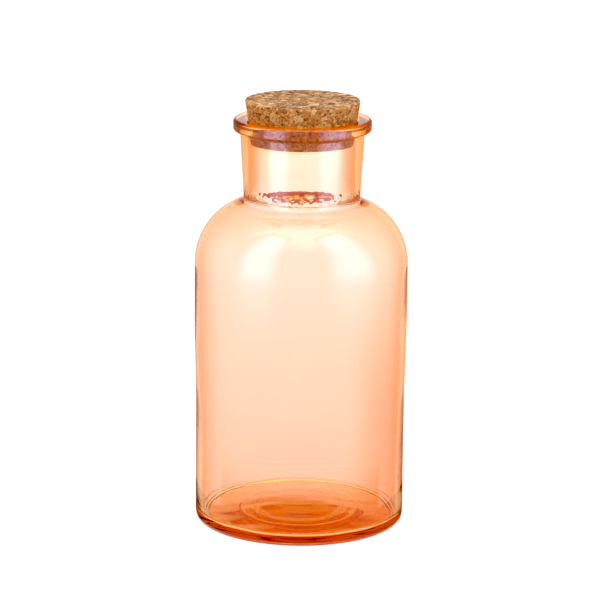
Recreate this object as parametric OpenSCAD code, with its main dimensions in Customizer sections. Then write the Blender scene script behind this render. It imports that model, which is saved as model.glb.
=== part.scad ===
// Tinted glass bottle of the apothecary kind, with a plug of agglomerated cork.
// The glass is one moulded piece: a round foot, a body that swells very slightly
// up to a domed shoulder, a short neck that widens upwards, and a flat rounded lip.
// Millimetres, +Z up. The origin is the centre of the circle the bottle stands on.

/* [Body] */
// Outside diameter of the straight lower part of the body
body_d = 100; // [94:1:106]
// How much wider the body is under the shoulder than near the foot
body_swell = 1.4; // [0.4:0.2:3]
// Height up to which the body is a true cylinder
straight_h = 58; // [40:1:80]
// Height at which the swell reaches its full width
swell_h = 100; // [90:1:110]
// Height at which the shoulder begins to curve in
hip_h = 126; // [116:1:140]
// Radius of the shoulder's curve
shoulder_r = 31.8; // [30:0.2:34]
// Radius of the rounded heel
heel_r = 3; // [2:0.5:4]

/* [Neck and lip] */
// Outside diameter of the neck where it leaves the shoulder
neck_low_d = 55.4; // [54:0.2:58]
// Outside diameter of the neck under the lip
neck_high_d = 58.8; // [58.2:0.2:60]
// Radius of the hollow curve between shoulder and neck
neck_hollow_r = 3; // [2:0.5:4]
// Outside diameter of the lip
lip_d = 65.4; // [64:0.2:70]
// Thickness of the lip
lip_t = 6; // [5:0.5:8]
// Rounding of the lip's outer edges
lip_round = 1.6; // [1:0.2:2]
// Height of the glass, from the table to the top of the lip
glass_h = 195.6; // [190:0.2:204]

/* [Inside] */
// Thickness of the wall just above the foot
wall_low = 3; // [2.5:0.1:4]
// Thickness of the wall under the shoulder
wall_high = 1.8; // [1.6:0.1:2.4]
// Diameter of the bore through the neck
bore_d = 50.6; // [50.4:0.2:51]
// Diameter of the mouth, where the bore flares out for the cork
mouth_d = 52.4; // [52.2:0.2:53]
// Depth of the flare, measured down from the top of the lip
flare_h = 5.6; // [4:0.2:8]
// Radius of the curve by which the shoulder's inside turns into the bore
inner_turn_r = 12; // [6:0.5:12]
// How much lower the shoulder's inner dome is struck than its outer one
dome_drop = 1; // [0:0.25:1]
// Height of the inside floor at its outer edge
floor_edge_h = 4.2; // [3.4:0.2:5]
// Height of the inside floor in the middle
floor_mid_h = 8.4; // [5.4:0.2:9]
// Radius of the curve between the inside wall and the floor
floor_r = 2.6; // [2:0.2:4]

/* [Underside] */
// Width of the flat ring that the bottle stands on
foot_w = 2; // [1.5:0.5:8]
// Height of the hollow inside the foot ring
hollow_h = 0.8; // [0.4:0.2:1]
// Diameter of the outer moulded rib under the bottle
rib_d = 55; // [50:1:60]
// Width of the rib
rib_w = 2.4; // [1.6:0.2:3]
// How far the rib stands down from the hollow
rib_h = 0.3; // [0.2:0.1:0.6]
// Diameter of the raised disc in the middle of the underside
disc_d = 42.4; // [38:0.2:46]
// How much higher the disc is than the hollow around it
disc_h = 0.4; // [0.2:0.1:1]

/* [Cork] */
// Diameter of the cork's top
cork_top_d = 54.4; // [54:0.2:55]
// Diameter of the cork's lower end
cork_low_d = 48.1; // [47:0.1:48.4]
// Length of the cork
cork_len = 20.5; // [19.5:0.5:22]
// How far the cork stands out above the lip
cork_out = 8.9; // [8.5:0.1:10]
// Rounding of the cork's edges
cork_round = 0.8; // [0.4:0.2:1.2]

/* [Hidden] */
$fn = 96;
arc_step = 6; // degrees between the points of a curve in an outline
small_arc_step = 15; // the same for the small roundings
body_r = body_d / 2;
hip_r = body_r + body_swell / 2;
neck_low_r = neck_low_d / 2;
neck_high_r = neck_high_d / 2;
lip_r = lip_d / 2;
bore_r = bore_d / 2;
mouth_r = mouth_d / 2;
lip_under_h = glass_h - lip_t;
cove_r = 1.2; // hollow curve between the neck and the lip's underside
mouth_round = 1; // rounding of the lip's inner edge
shoulder_x = hip_r - shoulder_r; // the shoulder's curve is struck from this radius

// the outside hollow between shoulder and neck
neck_rise = lip_under_h - hip_h - shoulder_r;
neck_lean = atan((neck_high_r - neck_low_r) / neck_rise);
hollow_x = neck_low_r + neck_hollow_r * cos(neck_lean);
hollow_z = hip_h + touching_height(shoulder_r + neck_hollow_r, hollow_x - shoulder_x);
hollow_a = atan2(hollow_z - hip_h, hollow_x - shoulder_x);

// the inside of the shoulder: a slightly lower dome, so that the wall thickens
// towards the neck, and a wide curve that turns it into the bore
inner_shoulder_r = shoulder_r - wall_high;
inner_dome_h = hip_h - dome_drop;
turn_x = bore_r + inner_turn_r;
turn_z = inner_dome_h + touching_height(inner_shoulder_r + inner_turn_r, turn_x - shoulder_x);
turn_a = atan2(turn_z - inner_dome_h, turn_x - shoulder_x);

inner_low_r = body_r - wall_low;
floor_edge_r = inner_low_r - floor_r;
floor_mid_r = 2.4; // radius of the level middle of the inside floor
floor_steps = 7; // cones that make up the floor's smooth rise to its middle
foot_outer_r = body_r - heel_r;
foot_inner_r = foot_outer_r - foot_w;
foot_slope_w = 2 * hollow_h;
rib_outer_r = (rib_d + rib_w) / 2;
rib_inner_r = (rib_d - rib_w) / 2;
disc_r = disc_d / 2;
disc_slope_w = disc_h;

cork_top_h = glass_h + cork_out;
cork_low_h = cork_top_h - cork_len;

glass_colour = [0.98, 0.72, 0.5, 0.45];
cork_colour = [0.76, 0.56, 0.36];

// The height difference between the centres of two curves that touch.
function touching_height(reach, across) = sqrt(reach * reach - across * across);

// Points of a circular arc from angle a0 to a1 around [x, z], both ends included.
function arc(x, z, r, a0, a1, step = small_arc_step) =
    let (n = max(1, ceil(abs(a1 - a0) / step)))
    [for (i = [0:n]) [x + r * cos(a0 + (a1 - a0) * i / n), z + r * sin(a0 + (a1 - a0) * i / n)]];

// Outside of the glass, from the foot ring up to the top of the lip.
function outer_outline() = concat(
    arc(foot_outer_r, heel_r, heel_r, -90, 0),
    [[body_r, straight_h], [hip_r, swell_h]],
    arc(shoulder_x, hip_h, shoulder_r, 0, hollow_a, arc_step),
    arc(hollow_x, hollow_z, neck_hollow_r, hollow_a + 180, 180 - neck_lean),
    arc(neck_high_r + cove_r, lip_under_h - cove_r, cove_r, 180, 90),
    arc(lip_r - lip_round, lip_under_h + lip_round, lip_round, -90, 0),
    arc(lip_r - lip_round, glass_h - lip_round, lip_round, 0, 90)
);

// Inside of the glass, from the mouth down to the middle of the floor.
function inner_outline() = concat(
    arc(mouth_r + mouth_round, glass_h - mouth_round, mouth_round, 90, 180),
    [[bore_r, glass_h - flare_h]],
    arc(turn_x, turn_z, inner_turn_r, 180, turn_a + 180, arc_step),
    arc(shoulder_x, inner_dome_h, inner_shoulder_r, turn_a, 0, arc_step),
    arc(floor_edge_r, floor_edge_h + floor_r, floor_r, 0, -90),
    [for (i = [1:floor_steps]) floor_point(i / floor_steps)],
    [[0, floor_mid_h]]
);

// A point of the inside floor, at the share t of the way from its edge to its middle.
// The floor is level at both ends and rises smoothly between them.
function floor_point(t) = [
    floor_edge_r + (floor_mid_r - floor_edge_r) * t,
    floor_edge_h + (floor_mid_h - floor_edge_h) * t * t * (3 - 2 * t)
];

// Underside, from the middle out to the inner edge of the foot ring.
function under_outline() = [
    [0, hollow_h + disc_h],
    [disc_r - disc_slope_w, hollow_h + disc_h],
    [disc_r, hollow_h],
    [rib_inner_r, hollow_h],
    [rib_inner_r + rib_h, hollow_h - rib_h],
    [rib_outer_r - rib_h, hollow_h - rib_h],
    [rib_outer_r, hollow_h],
    [foot_inner_r - foot_slope_w, hollow_h],
    [foot_inner_r, 0]
];

// The bottle: one piece of glass, open at the mouth.
module glass_bottle() {
    color(glass_colour)
        rotate_extrude()
            polygon(concat(under_outline(), outer_outline(), inner_outline()));
}

// The stopper: a tapered plug of pressed cork with softened edges.
module cork_stopper() {
    top_r = cork_top_d / 2;
    low_r = cork_low_d / 2;
    color(cork_colour)
        rotate_extrude()
            polygon(concat(
                [[0, cork_low_h]],
                arc(low_r - cork_round, cork_low_h + cork_round, cork_round, -90, 0),
                arc(top_r - cork_round, cork_top_h - cork_round, cork_round, 0, 90),
                [[0, cork_top_h]]
            ));
}

glass_bottle();
cork_stopper();
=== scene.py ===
"""Look of the tinted glass bottle and its cork, in metres, in the frame of the CAD model."""
import math

import bmesh
import bpy
import numpy as np
from mathutils import Matrix, Vector, noise


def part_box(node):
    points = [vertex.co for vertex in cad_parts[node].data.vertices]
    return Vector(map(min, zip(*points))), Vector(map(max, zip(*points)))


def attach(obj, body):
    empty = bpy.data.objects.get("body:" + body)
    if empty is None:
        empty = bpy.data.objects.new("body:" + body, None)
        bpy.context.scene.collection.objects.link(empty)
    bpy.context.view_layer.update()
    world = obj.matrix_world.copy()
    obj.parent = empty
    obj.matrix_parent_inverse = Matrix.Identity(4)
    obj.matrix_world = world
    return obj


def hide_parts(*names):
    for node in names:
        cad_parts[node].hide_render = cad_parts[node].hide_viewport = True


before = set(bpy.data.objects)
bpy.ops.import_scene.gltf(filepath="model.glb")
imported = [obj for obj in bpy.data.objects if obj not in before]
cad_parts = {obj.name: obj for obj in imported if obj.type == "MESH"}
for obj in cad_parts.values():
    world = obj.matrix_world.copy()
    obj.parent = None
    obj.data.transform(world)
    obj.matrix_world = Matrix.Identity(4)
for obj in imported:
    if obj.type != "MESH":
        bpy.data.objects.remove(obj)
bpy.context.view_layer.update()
noise.seed_set(1)  # the start of noise_vector, which would otherwise come from the clock

# ---------------------------------------------------------------- sizes, all in metres

MM = 0.001
AXIS_GAP = 0.01 * MM  # a turned surface stops this close to its axis, and a small face closes it
_, glass_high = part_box("glass_bottle")
cork_low, cork_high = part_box("cork_stopper")

# outside of the glass
hip_r = min(glass_high.x, glass_high.y)
glass_h = glass_high.z
body_r = hip_r - 0.7 * MM
straight_h = 58 * MM
swell_h = 100 * MM
hip_h = 126 * MM
shoulder_r = 31.8 * MM
heel_r = 3 * MM
neck_low_r = 27.7 * MM
neck_high_r = 29.4 * MM
neck_hollow_r = 3 * MM
lip_r = 32.7 * MM
lip_round = 1.6 * MM
lip_under_h = glass_h - 6 * MM
cove_r = 1.2 * MM

# inside of the glass
wall_low = 3.0 * MM
wall_high = 1.8 * MM
bore_r = 25.3 * MM
mouth_r = 26.2 * MM
mouth_round = 1 * MM
flare_h = 5.6 * MM
inner_turn_r = 12 * MM
inner_dome_h = hip_h - 1 * MM
floor_edge_h = 4.2 * MM
floor_mid_h = 8.4 * MM
floor_r = 2.6 * MM
floor_mid_r = 2.4 * MM  # the level middle of the floor
bore_shift = -0.2 * MM  # the inside sits this far to the left, so the right wall is thicker

# underside of the glass
foot_w = 2 * MM
hollow_h = 0.8 * MM
rib_r = 27.5 * MM
rib_w = 2.4 * MM
rib_h = 0.3 * MM
disc_r = 21.2 * MM
disc_h = 0.4 * MM

# cork
cork_top_r = min(cork_high.x, cork_high.y)
cork_low_r = 24.05 * MM
cork_round = 0.8 * MM

# ---------------------------------------------------------------- outlines and turned meshes


def arc(x, z, r, start, end, step=6):
    """Points of a circular arc around (x, z), from angle start to angle end in degrees."""
    count = max(1, math.ceil(abs(end - start) / step))
    angles = [math.radians(start + (end - start) * i / count) for i in range(count + 1)]
    return [(x + r * math.cos(a), z + r * math.sin(a)) for a in angles]


def straight(start, end, step):
    """Points from start to end, both included, about step apart."""
    count = max(1, math.ceil(math.dist(start, end) / step))
    return [
        (start[0] + (end[0] - start[0]) * i / count, start[1] + (end[1] - start[1]) * i / count)
        for i in range(count + 1)
    ]


def ease(t):
    """A smooth step: 0 at 0, 1 at 1, level at both ends."""
    t = min(1.0, max(0.0, t))
    return t * t * (3 - 2 * t)


def slope(start, end, count, along=0):
    """Points from start to end on a smooth S: one coordinate runs evenly, the other eases."""
    points = []
    for i in range(count + 1):
        t = i / count
        shares = (t, ease(t)) if along == 0 else (ease(t), t)
        points.append(tuple(a + (b - a) * s for a, b, s in zip(start, end, shares)))
    return points


def without_doubles(points):
    """The same outline without points that lie on the one before."""
    kept = [points[0]]
    for point in points[1:]:
        if math.dist(point, kept[-1]) > 2e-6:
            kept.append(point)
    return kept


def turned_mesh(name, outline, segments, move):
    """A closed mesh from an outline of (radius, height) turned about Z.

    move(row, point) gives the place of each vertex, so that a surface can be uneven."""
    points = []
    for row, (radius, height) in enumerate(outline):
        for k in range(segments):
            a = 2 * math.pi * k / segments
            points.append(move(row, Vector((radius * math.cos(a), radius * math.sin(a), height))))
    faces = []
    for row in range(len(outline) - 1):
        for k in range(segments):
            a, b = row * segments + k, row * segments + (k + 1) % segments
            faces.append((a, b, b + segments, a + segments))
    last = (len(outline) - 1) * segments
    faces.append(tuple(range(segments)))
    faces.append(tuple(range(last, last + segments)))
    mesh = bpy.data.meshes.new(name)
    mesh.from_pydata(points, [], faces)
    tidy = bmesh.new()
    tidy.from_mesh(mesh)
    bmesh.ops.recalc_face_normals(tidy, faces=tidy.faces)
    tidy.to_mesh(mesh)
    tidy.free()
    mesh.polygons.foreach_set("use_smooth", [True] * len(mesh.polygons))
    thing = bpy.data.objects.new(name, mesh)
    bpy.context.scene.collection.objects.link(thing)
    return thing


# ---------------------------------------------------------------- node helpers


def new_material(name):
    """An empty node material and its Principled shader."""
    material = bpy.data.materials.new(name)
    material.use_nodes = True
    return material, material.node_tree, material.node_tree.nodes["Principled BSDF"]


def add(tree, kind, **settings):
    """A new node with its properties set."""
    node = tree.nodes.new(kind)
    for key, value in settings.items():
        setattr(node, key, value)
    return node


def feed(tree, node, **values):
    """Sets or links a node's inputs; 'From_Min' stands for 'From Min', 'in0' for input 0."""
    for key, value in values.items():
        socket = node.inputs[int(key[2:])] if key[:2] == "in" else node.inputs[key.replace("_", " ")]
        if isinstance(value, bpy.types.NodeSocket):
            tree.links.new(value, socket)
        else:
            socket.default_value = value
    return node


def math_node(tree, operation, first, second=0.0, third=0.0):
    """The result of a Math node."""
    node = add(tree, "ShaderNodeMath", operation=operation)
    feed(tree, node, in0=first, in1=second, in2=third)
    return node.outputs[0]


def map_range(tree, value, low, high, to_low=0.0, to_high=1.0):
    """The result of a smooth Map Range node."""
    node = add(tree, "ShaderNodeMapRange", interpolation_type="SMOOTHSTEP")
    feed(tree, node, in0=value, in1=low, in2=high, in3=to_low, in4=to_high)
    return node.outputs[0]


def ramp(tree, value, stops):
    """A colour ramp through stops of (position, colour)."""
    node = add(tree, "ShaderNodeValToRGB")
    elements = node.color_ramp.elements
    while len(elements) < len(stops):
        elements.new(0.5)
    for element, (position, colour) in zip(elements, stops):
        element.position = position
        element.color = (*colour, 1)
    feed(tree, node, in0=value)
    return node.outputs[0]


def mix(tree, share, first, second, blend="MIX"):
    """The colour of a Mix node."""
    node = add(tree, "ShaderNodeMix", data_type="RGBA", blend_type=blend)
    feed(tree, node, in0=share, in6=first, in7=second)
    return node.outputs[2]


def grain(tree, place, scale, detail=2.0, roughness=0.5):
    """The value of a Noise texture."""
    node = add(tree, "ShaderNodeTexNoise")
    feed(tree, node, Vector=place, Scale=scale, Detail=detail, Roughness=roughness)
    return node.outputs[0]


def stretched(tree, place, scale):
    """Coordinates scaled by a different amount in each direction."""
    node = add(tree, "ShaderNodeMapping")
    feed(tree, node, Vector=place, Scale=scale)
    return node.outputs[0]


# ---------------------------------------------------------------- the glass


def touching_height(reach, across):
    """Height difference between the centres of two arcs that touch."""
    return math.sqrt(reach * reach - across * across)


def glass_outside():
    """Outline from the foot ring up to the top of the lip."""
    body_step = 5 * MM
    neck_step = 3 * MM
    shoulder_x = hip_r - shoulder_r
    neck_rise = lip_under_h - hip_h - shoulder_r
    lean = math.degrees(math.atan((neck_high_r - neck_low_r) / neck_rise))
    hollow_x = neck_low_r + neck_hollow_r * math.cos(math.radians(lean))
    hollow_rise = touching_height(shoulder_r + neck_hollow_r, hollow_x - shoulder_x)
    hollow_a = math.degrees(math.atan2(hollow_rise, hollow_x - shoulder_x))
    hollow = arc(hollow_x, hip_h + hollow_rise, neck_hollow_r, hollow_a + 180, 180 - lean)
    neck_top = (neck_high_r, lip_under_h - cove_r)
    return (
        arc(body_r - heel_r, heel_r, heel_r, -90, 0)
        + straight((body_r, heel_r), (body_r, straight_h), body_step)
        + slope((body_r, straight_h), (hip_r, swell_h), count=20, along=1)
        + straight((hip_r, swell_h), (hip_r, hip_h), body_step)
        + arc(shoulder_x, hip_h, shoulder_r, 0, hollow_a, step=2)
        + hollow
        + straight(hollow[-1], neck_top, neck_step)
        + arc(neck_high_r + cove_r, lip_under_h - cove_r, cove_r, 180, 90, step=9)
        + arc(lip_r - lip_round, lip_under_h + lip_round, lip_round, -90, 0)
        + arc(lip_r - lip_round, glass_h - lip_round, lip_round, 0, 90)
    )


def glass_inside():
    """Outline from the mouth down to the middle of the floor."""
    flare_step = 1 * MM
    bore_step = 2 * MM
    wall_step = 4 * MM
    floor_step = 1.5 * MM
    dome_x = hip_r - shoulder_r
    dome_r = shoulder_r - wall_high
    turn_x = bore_r + inner_turn_r
    turn_rise = touching_height(dome_r + inner_turn_r, turn_x - dome_x)
    turn_a = math.degrees(math.atan2(turn_rise, turn_x - dome_x))
    bore_top = (bore_r, glass_h - flare_h)
    bore_end = (bore_r, inner_dome_h + turn_rise)
    wall_x = body_r - wall_low
    wall_end = (wall_x, floor_edge_h + floor_r)
    floor_end = (wall_x - floor_r, floor_edge_h)
    floor_flat = (floor_mid_r, floor_mid_h)
    return (
        arc(mouth_r + mouth_round, glass_h - mouth_round, mouth_round, 90, 180, step=9)
        + straight((mouth_r, glass_h - mouth_round), bore_top, flare_step)
        + straight(bore_top, bore_end, bore_step)
        + arc(turn_x, bore_end[1], inner_turn_r, 180, turn_a + 180, step=3)
        + arc(dome_x, inner_dome_h, dome_r, turn_a, 0, step=2)
        + straight((dome_x + dome_r, inner_dome_h), wall_end, wall_step)
        + arc(wall_end[0] - floor_r, wall_end[1], floor_r, 0, -90)
        + slope(floor_end, floor_flat, count=32)
        + straight(floor_flat, (AXIS_GAP, floor_mid_h), floor_step)
    )


def glass_underside():
    """Outline from the middle of the underside out to the foot ring."""
    level_step = 3 * MM
    slope_rows = 8
    rib_rows = 12
    disc_top = hollow_h + disc_h
    disc_edge = (disc_r - 1.5 * disc_h, disc_top)
    rib_inner_r = rib_r - rib_w / 2
    rib_outer_r = rib_r + rib_w / 2
    foot_inner_r = body_r - heel_r - foot_w
    foot_slope_r = foot_inner_r - 2 * hollow_h
    rib = [
        (rib_inner_r + rib_w * i / rib_rows, hollow_h - rib_h * math.sin(math.pi * i / rib_rows) ** 2)
        for i in range(1, rib_rows)
    ]
    return (
        straight((AXIS_GAP, disc_top), disc_edge, level_step)
        + slope(disc_edge, (disc_r, hollow_h), slope_rows)
        + straight((disc_r, hollow_h), (rib_inner_r, hollow_h), level_step)
        + rib
        + straight((rib_outer_r, hollow_h), (foot_slope_r, hollow_h), level_step)
        + slope((foot_slope_r, hollow_h), (foot_inner_r, 0), slope_rows)
    )


def glass_bottle():
    """The bottle with the slight unevenness of moulded glass, mostly on its inside."""
    outer = glass_underside() + glass_outside()
    outline = without_doubles(outer + glass_inside())
    outer_rows = len(without_doubles(outer))
    segments = 256
    still_r = 2 * MM  # nearer to the axis than this, nothing is uneven
    above_floor = floor_mid_h + MM
    wave_scale = Vector((60, 60, 30))  # waves per metre, longer up and down
    inside_waves = 0.05 * MM
    outside_waves = 0.02 * MM
    inside_start = 0.5  # metres up, where the inside's waves are read, to differ from the outside's
    floor_waves = 0.35 * MM
    floor_scale = Vector((28, 120, 0))
    floor_start = Vector((3.1, 0.4, 0))
    pebbles = 0.16 * MM  # small bumps on the turn from the shoulder to the bore
    pebble_scale = 900
    fine_pebbles = 2.2  # how much closer together the finer bumps are
    turn_h = inner_dome_h + 36 * MM
    turn_reach = 8 * MM

    def uneven(row, point):
        radius = math.hypot(point.x, point.y)
        if radius < still_r:
            return point
        inside = row >= outer_rows
        place = Vector((point.x, point.y, point.z + (inside_start if inside else 0.0))) * wave_scale
        wave = noise.noise(place) + 0.3 * noise.noise(place * 3)
        push = inside_waves * wave if inside else -outside_waves * abs(wave)
        lift = 0.0
        if inside:
            near_turn = ease(1 - abs(point.z - turn_h) / turn_reach)
            pebble = noise.noise(point * pebble_scale)
            pebble += 0.6 * noise.noise(point * fine_pebbles * pebble_scale)
            push += pebbles * near_turn * pebble
            on_floor = ease((above_floor - point.z) / (2 * MM)) * ease((radius - still_r) / (4 * MM))
            lift = floor_waves * on_floor * noise.noise(point * floor_scale + floor_start)
        scale = (radius + push) / radius
        shift = bore_shift if inside and point.z > above_floor else 0.0
        return Vector((point.x * scale + shift, point.y * scale, point.z + lift))

    return turned_mesh("bottle_glass", outline, segments, uneven)


def glass_material():
    """Clear peach glass: its mass absorbs blue most, and its surface has a tint by height. Painted
    light keeps the neck pale, and painted shade deepens the colour toward the outline and low on the
    right.
    """
    absorbed = (6.0, 25.0, 80.0)  # per metre of glass, for red, green and blue
    tints_and_neck_light = [
        (48 * MM, (0.99, 0.795, 0.765)),
        (115 * MM, (1.0, 0.86, 0.84)),
        (145 * MM, (1.0, 0.87, 0.85)),
        (153 * MM, (1.0, 0.83, 0.79)),
        (160 * MM, (1.0, 0.885, 0.865)),
        # painted light: these near-white tints, up to 184 mm, keep the neck pale and its highlights
        # white
        (170 * MM, (1.0, 0.935, 0.965)),
        (184 * MM, (1.0, 0.96, 1.0)),
        (187.5 * MM, (1.0, 0.84, 0.66)),
        (glass_h, (1.0, 0.82, 0.66)),
    ]  # height and colour
    tilt = -0.12  # the tints lie higher on the right by this share of the distance
    streak_scale = 90
    streak_height = 8 * MM  # how far streaks move the tints up and down
    edge_shade = (0.9, 0.40, 0.22)  # where the surface is seen at a glancing angle: partly the deeper colour of glass seen edge on, partly painted shade
    edge_from = 0.1  # the painted edge shade sets in here, with 1 for a surface seen edge on
    edge_full = 0.52
    edge_shade_shares = [(hip_h, 0.5), (140 * MM, 0.35), (153 * MM, 0.35), (165 * MM, 0.95)]  # how much of the painted edge shade, by height
    low_right_shade = (1.0, 0.84, 0.74)  # painted shade: the colour is made deeper low on the right
    deep_x = (22 * MM, 42 * MM)  # it sets in between these distances to the right
    deep_z = (125 * MM, 50 * MM)  # and between these heights, going down
    material, tree, shader = new_material("tinted_glass")
    feed(tree, shader, Transmission_Weight=1.0, Roughness=0.0, IOR=1.5)
    place = add(tree, "ShaderNodeTexCoord").outputs["Object"]
    parts = feed(tree, add(tree, "ShaderNodeSeparateXYZ"), in0=place).outputs
    height = math_node(tree, "MULTIPLY_ADD", parts[0], tilt, parts[2])
    streaks = grain(tree, stretched(tree, place, (1, 1, 0.25)), streak_scale)
    streaks = math_node(tree, "SUBTRACT", streaks, 0.5)
    height = math_node(tree, "MULTIPLY_ADD", streaks, streak_height, height)
    share = math_node(tree, "DIVIDE", height, glass_h)
    tint = ramp(tree, share, [(at / glass_h, colour) for at, colour in tints_and_neck_light])
    # painted shade along the outline: the colour turns to the edge colour where the surface is seen
    # at a glancing angle
    facing = feed(tree, add(tree, "ShaderNodeLayerWeight"), Blend=0.5).outputs["Facing"]
    level = math_node(tree, "DIVIDE", parts[2], glass_h)
    edges = ramp(tree, level, [(at / glass_h, (grey, grey, grey)) for at, grey in edge_shade_shares])
    glance = map_range(tree, math_node(tree, "MULTIPLY", facing, edges), edge_from, edge_full)
    # painted shade, low on the right
    rightward = map_range(tree, parts[0], *deep_x)
    lowered = map_range(tree, parts[2], *deep_z)
    low_right_shade_share = math_node(tree, "MULTIPLY", rightward, lowered)
    tint = mix(tree, low_right_shade_share, tint, (*low_right_shade, 1), "MULTIPLY")
    feed(tree, shader, Base_Color=mix(tree, glance, tint, (*edge_shade, 1)))
    density = max(absorbed)
    colour = tuple(1 - a / density for a in absorbed)
    volume = add(tree, "ShaderNodeVolumeAbsorption")
    feed(tree, volume, Color=(*colour, 1), Density=density)
    feed(tree, tree.nodes["Material Output"], Volume=volume.outputs[0])
    return material


bottle = glass_bottle()
bottle.data.materials.append(glass_material())
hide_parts("glass_bottle")
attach(bottle, "bottle")

# ---------------------------------------------------------------- the cork


def cork_outline():
    """Outline from the middle of the lower face, up the taper, to the middle of the top."""
    step = 0.4 * MM
    arc_step = 30  # degrees
    low_z = cork_low.z
    top_z = cork_high.z
    low_edge = cork_low_r - cork_round
    top_edge = cork_top_r - cork_round
    return without_doubles(
        straight((AXIS_GAP, low_z), (low_edge, low_z), step)
        + arc(low_edge, low_z + cork_round, cork_round, -90, 0, arc_step)
        + straight((cork_low_r, low_z + cork_round), (cork_top_r, top_z - cork_round), step)
        + arc(top_edge, top_z - cork_round, cork_round, 0, 90, arc_step)
        + straight((top_edge, top_z), (AXIS_GAP, top_z), step)
    )


def chance(place, salt=0.0):
    """A fixed number from 0 to 1 for a place, different for each salt.

    The factors have no meaning: they only scatter the places' digits."""
    angle = place.x * 127.1 + place.y * 311.7 + place.z * 74.7 + salt * 19.19
    value = math.sin(angle) * 43758.5453
    return value - math.floor(value)


def granule(point, size):
    """Which cork granule a point is in: its centre, and how far the point is from its edge."""
    bend = 0.22  # how much the granules' outlines bend, as a share of their size
    warp = noise.noise_vector(point / (0.7 * size)) * bend
    near, centres = noise.voronoi(point / size + warp)
    return centres[0], near[1] - near[0]


def cork_plug():
    """The pressed cork: granules of two sizes, with cracks between them and a few pits."""
    outline = cork_outline()
    segments = 440
    big = 3.4 * MM
    small = 1.3 * MM
    small_start = Vector((0.1, 0, 0))  # metres aside, where the small granules are read
    small_share = 0.55  # of the big granules, how many are broken up into small ones
    crack_depth = 0.2 * MM
    crack_width = 0.13  # as a share of a granule's size
    crack_patch = 1.4 * MM  # size of the stretches in which cracks come and go
    granule_step = 0.14 * MM  # granules stand at heights this far apart
    pit_depth = 0.5 * MM
    pit_size = 0.9 * MM
    pit_start = Vector((7, 3, 1))
    pit_level = 0.34  # the noise has to be this strong to make a pit
    pit_rise = 0.16  # and this much stronger to make it full depth
    chip_depth = 0.5 * MM
    chip_size = 2 * MM
    rim_w = 1.2 * MM  # width of the band along the top edge in which the cork is chipped
    looks = []

    def uneven(row, point):
        before = Vector(outline[max(row - 1, 0)])
        after = Vector(outline[min(row + 1, len(outline) - 1)])
        along = (after - before).normalized()
        radius = math.hypot(point.x, point.y)
        outward = Vector((along.y * point.x / radius, along.y * point.y / radius, -along.x))
        cell, edge = granule(point, big)
        if chance(cell) < small_share:
            cell, edge = granule(point + small_start, small)
        crack = 1 - ease(edge / crack_width)
        crack *= ease(0.5 + 1.6 * noise.noise(point / crack_patch))
        pit = ease((noise.noise(point / pit_size + pit_start) - pit_level) / pit_rise)
        rim = ease(1 - abs(point.z - cork_high.z) / rim_w)
        rim *= ease(1 - (cork_top_r - radius) / rim_w)
        chip = rim * ease(noise.noise(point / chip_size) * 2)
        depth = (
            crack_depth * crack
            + granule_step * chance(cell, 1)
            + pit_depth * pit
            + chip_depth * chip
        )
        if radius < MM:
            depth *= radius / MM
        cut = 1.0 if abs(along.y) < 0.5 else 0.0  # 1 on the two flat faces
        looks.append((chance(cell, 2), max(crack, pit), cut, chance(cell, 3)))
        return point - outward * depth

    thing = turned_mesh("cork_plug", outline, segments, uneven)
    layer = thing.data.attributes.new("granule", "FLOAT_COLOR", "POINT")
    layer.data.foreach_set("color", np.array(looks, dtype=np.float32).ravel())
    return thing


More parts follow.
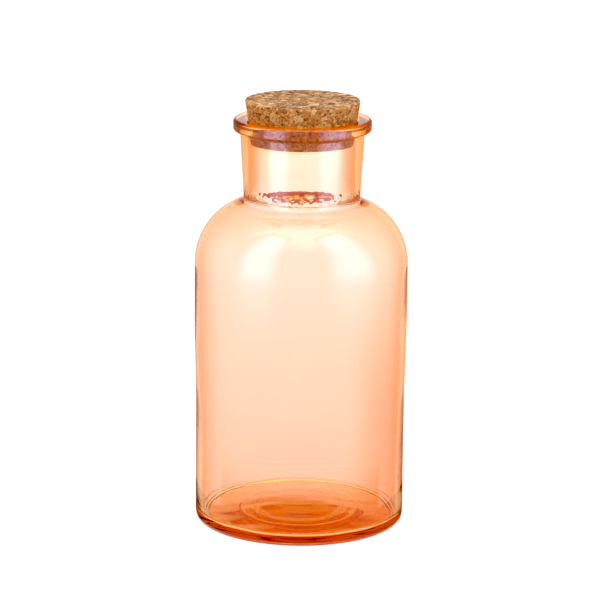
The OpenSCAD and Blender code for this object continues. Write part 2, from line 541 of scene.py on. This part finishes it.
def cork_material():
    """Pressed cork: every granule has its own tone and direction of grain.

    The part inside the neck is painted lighter, standing in for the light that reaches it through the
    glass, and yellower, so that it shows brown through the tinted glass."""
    fibre_scale = 1400
    speck_scale = 2600
    crack_colour = (0.06, 0.022, 0.007, 1)
    above_lip = (0.89, 1.05, 1.23, 1)
    below_lip_painted_light = (1.2, 1.25, 0.6, 1)
    material, tree, shader = new_material("pressed_cork")
    look = add(tree, "ShaderNodeAttribute", attribute_name="granule")
    parts = feed(tree, add(tree, "ShaderNodeSeparateColor"), in0=look.outputs["Color"])
    tone, crack, cut = parts.outputs[0], parts.outputs[1], parts.outputs[2]
    place = add(tree, "ShaderNodeTexCoord").outputs["Object"]
    turn = math_node(tree, "MULTIPLY", look.outputs["Alpha"], 2 * math.pi)
    turned = add(tree, "ShaderNodeVectorRotate", rotation_type="AXIS_ANGLE")
    feed(tree, turned, Vector=place, Axis=(0.3, 0.2, 1.0), Angle=turn)
    fibres = grain(tree, stretched(tree, turned.outputs[0], (0.3, 1.6, 1.6)), fibre_scale, 3.0, 0.6)
    specks = grain(tree, place, speck_scale, 2.0, 0.6)
    shade = math_node(tree, "MULTIPLY_ADD", fibres, 0.9, math_node(tree, "SUBTRACT", tone, 0.45))
    side = ramp(
        tree,
        shade,
        [
            (0.0, (0.36, 0.095, 0.012)),
            (0.35, (0.54, 0.175, 0.03)),
            (0.7, (0.60, 0.215, 0.045)),
            (1.0, (0.72, 0.34, 0.11)),
        ],
    )
    face = ramp(
        tree,
        shade,
        [
            (0.0, (0.10, 0.033, 0.009)),
            (0.35, (0.30, 0.12, 0.037)),
            (0.7, (0.43, 0.20, 0.072)),
            (1.0, (0.62, 0.33, 0.135)),
        ],
    )
    colour = mix(tree, cut, side, face)
    up = feed(tree, add(tree, "ShaderNodeSeparateXYZ"), in0=place).outputs[2]
    # painted light: inside the neck the cork is made lighter and yellower
    seated = map_range(tree, up, glass_h + MM, glass_h - MM)
    colour = mix(tree, 1.0, colour, mix(tree, seated, above_lip, below_lip_painted_light), "MULTIPLY")
    dark = map_range(tree, specks, 0.56, 0.70, 0.0, 0.75)
    hollow = math_node(tree, "MAXIMUM", dark, math_node(tree, "MULTIPLY", crack, 0.95))
    colour = mix(tree, hollow, colour, crack_colour)
    rough = map_range(tree, fibres, 0.3, 0.7, 0.95, 0.7)
    relief = math_node(tree, "MULTIPLY_ADD", specks, -0.5, fibres)
    bump = add(tree, "ShaderNodeBump")
    feed(tree, bump, Strength=0.6, Distance=0.15 * MM, Height=relief)
    feed(tree, shader, Base_Color=colour, Roughness=rough, Normal=bump.outputs[0])
    feed(tree, shader, Specular_IOR_Level=0.25)
    return material


cork = cork_plug()
cork.data.materials.append(cork_material())
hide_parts("cork_stopper")
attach(cork, "stopper")

# ---------------------------------------------------------------- the studio

SURROUND = 1.2  # brightness of the white surroundings
OVERHEAD = 3.5  # brightness of the soft light above
BOUNCES = 256  # light is led round inside the wall of the glass many times
BLACK_LEVEL = 0.03


def white_room():
    """White on every side, and brighter overhead, where the sine of the elevation nears 1."""
    world = bpy.data.worlds.new("studio")
    bpy.context.scene.world = world
    world.use_nodes = True
    tree = world.node_tree
    direction = add(tree, "ShaderNodeTexCoord").outputs["Generated"]
    up = feed(tree, add(tree, "ShaderNodeSeparateXYZ"), in0=direction).outputs[2]
    strength = map_range(tree, up, 0.70, 0.95, SURROUND, OVERHEAD)
    feed(tree, tree.nodes["Background"], Color=(1, 1, 1, 1), Strength=strength)


def staged(name, mesh, material):
    """Puts a piece of the studio into the scene."""
    mesh.materials.append(material)
    thing = bpy.data.objects.new(name, mesh)
    bpy.context.scene.collection.objects.link(thing)
    return thing


def hide(thing, behind_glass=True):
    """Keeps a studio piece out of view, so that it only shows where a surface mirrors it.

    Without behind_glass, it can still be seen through glass."""
    thing.visible_camera = False
    thing.visible_transmission = not behind_glass
    thing.visible_diffuse = False
    thing.visible_shadow = False


def disc(name, radius, height, albedo, glow, glow_behind=None):
    """A level round sheet that reflects light and glows, at the back in another colour."""
    sides = 96
    glow_front = -15 * MM
    glow_back = 35 * MM
    mesh = bpy.data.meshes.new(name)
    ring = [math.tau * k / sides for k in range(sides)]
    points = [(radius * math.cos(a), radius * math.sin(a), height) for a in ring]
    mesh.from_pydata(points, [], [tuple(range(sides))])
    material, tree, shader = new_material(name)
    feed(tree, shader, Base_Color=(albedo, albedo, albedo, 1), Roughness=0.9, Specular_IOR_Level=0.0)
    feed(tree, shader, Emission_Color=(*glow, 1), Emission_Strength=1.0)
    if glow_behind:
        place = add(tree, "ShaderNodeTexCoord").outputs["Object"]
        depth = feed(tree, add(tree, "ShaderNodeSeparateXYZ"), in0=place).outputs[1]
        backward = map_range(tree, depth, glow_front, glow_back)
        feed(tree, shader, Emission_Color=mix(tree, backward, (*glow, 1), (*glow_behind, 1)))
    staged(name, mesh, material)


def card(name, azimuth, width, distance, fade, low, full, light, high=0.5):
    """An upright card curved about the object, which only shows where a surface mirrors it.

    Azimuth is in degrees from the camera's side, turning to the right; width in degrees.
    The card reaches from the height low to the height high. It fades into the surroundings
    at both sides, over the share fade of its width, and at its lower and upper edges, over
    the distance from low to full."""
    columns = 32
    level_fade = (full - low) / (high - low)
    points = []
    for k in range(columns + 1):
        a = math.radians(azimuth + width * (k / columns - 0.5))
        x = distance * math.sin(a)
        y = -distance * math.cos(a)
        points += [(x, y, low), (x, y, high)]
    faces = [(2 * k, 2 * k + 2, 2 * k + 3, 2 * k + 1) for k in range(columns)]
    mesh = bpy.data.meshes.new(name)
    mesh.from_pydata(points, [], faces)
    corners = mesh.uv_layers.new(name="UVMap").data
    for corner, loop in zip(corners, mesh.loops):
        corner.uv = (loop.vertex_index // 2 / columns, loop.vertex_index % 2)
    material, tree, shader = new_material(name)
    place = add(tree, "ShaderNodeUVMap", uv_map="UVMap").outputs[0]
    parts = feed(tree, add(tree, "ShaderNodeSeparateXYZ"), in0=place).outputs
    shares = []
    for socket, edge_share in ((parts[0], fade), (parts[1], level_fade)):
        off_middle = math_node(tree, "ABSOLUTE", math_node(tree, "MULTIPLY_ADD", socket, 2.0, -1.0))
        shares.append(map_range(tree, off_middle, 1.0, 1.0 - 2 * edge_share))
    share = math_node(tree, "MULTIPLY", shares[0], shares[1])
    colour = mix(tree, share, (SURROUND, SURROUND, SURROUND, 1), (*light, 1))
    feed(tree, shader, Base_Color=(0, 0, 0, 1), Specular_IOR_Level=0.0, Roughness=1.0)
    feed(tree, shader, Emission_Color=colour, Emission_Strength=1.0)
    thing = staged(name, mesh, material)
    hide(thing)
    return thing


def shade_floor():
    """A dark ring on the table around the foot, which only shows where a surface mirrors it."""
    inner = 52 * MM
    dark = 120 * MM  # dark out to here, and then fading into the surroundings
    outer = 170 * MM
    height = 0.4 * MM
    columns = 64
    points = []
    for k in range(columns):
        a = math.tau * k / columns
        points += [(r * math.cos(a), r * math.sin(a), height) for r in (inner, outer)]
    faces = []
    for k in range(columns):
        a, b = 2 * k, 2 * ((k + 1) % columns)
        faces.append((a, a + 1, b + 1, b))
    mesh = bpy.data.meshes.new("shade_floor")
    mesh.from_pydata(points, [], faces)
    material, tree, shader = new_material("shade_floor")
    place = add(tree, "ShaderNodeTexCoord").outputs["Object"]
    reach = feed(tree, add(tree, "ShaderNodeVectorMath", operation="LENGTH"), in0=place)
    glow_share = map_range(tree, reach.outputs["Value"], dark, outer, 0.05, 1.07)
    feed(tree, shader, Base_Color=(0, 0, 0, 1), Specular_IOR_Level=0.0, Roughness=1.0)
    feed(tree, shader, Emission_Color=(1, 1, 1, 1), Emission_Strength=glow_share)
    hide(staged("shade_floor", mesh, material))


white_room()

# the table, and a glowing patch under the foot: painted light for the warm light that the glass
# throws on it
disc("light_table", 450 * MM, -0.5 * MM, 0.12, (0.95, 0.95, 0.95))
disc("painted_warm_light", 46 * MM, 0.0, 0.9, (0.55, 0.25, 0.0), (0.85, 0.72, 0.42))

# two bright cards in front, for the highlights, and two duller ones at the sides
glow_light = (6.0, 5.6, 7.6)
glow_place = dict(distance=170 * MM, fade=0.35, low=55 * MM, full=155 * MM, light=glow_light)
card("glow_left", -43, 50, **glow_place)
card("glow_right", 51, 60, **glow_place)
shade_light = (0.75, 0.42, 0.28)
shade_place = dict(distance=85 * MM, fade=0.3, low=-20 * MM, full=-10 * MM, light=shade_light)
card("shade_left", -118, 96, **shade_place)
card("shade_right", 120, 96, **shade_place)
shade_floor()

# a warm wall far behind, which the inside floor mirrors and which shows through the glass
wall_light = (0.55, 0.3, 0.08)
wall_place = dict(distance=1.0, fade=0.3, low=0.28, full=0.40, high=0.8)
warm_wall = card("warm_wall", 180, 36, light=wall_light, **wall_place)
hide(warm_wall, behind_glass=False)


def camera():
    """The camera, above the bottle and looking a little down at the middle of its body."""
    distance = 1.45
    pitch = math.radians(13.86)
    roll = math.radians(0.55)
    sensor = 36  # millimetres, as Blender takes them
    lens = 182.4  # millimetres
    target = Vector((-0.43 * MM, 0, 107.42 * MM))
    data = bpy.data.cameras.new("camera")
    thing = bpy.data.objects.new("camera", data)
    bpy.context.scene.collection.objects.link(thing)
    thing.location = target + distance * Vector((0, -math.cos(pitch), math.sin(pitch)))
    turn = Matrix.Rotation(math.pi / 2 - pitch, 4, "X") @ Matrix.Rotation(roll, 4, "Z")
    thing.rotation_euler = turn.to_euler()
    data.sensor_width = sensor
    data.lens = lens
    data.clip_start = 0.01
    data.clip_end = 50
    bpy.context.scene.camera = thing


camera()
scene = bpy.context.scene
scene.view_settings.view_transform = "Standard"
scene.view_settings.use_curve_mapping = True
scene.view_settings.curve_mapping.black_level = (BLACK_LEVEL, BLACK_LEVEL, BLACK_LEVEL)
scene.view_settings.curve_mapping.update()
scene.cycles.max_bounces = BOUNCES
scene.cycles.transmission_bounces = BOUNCES
scene.cycles.glossy_bounces = BOUNCES
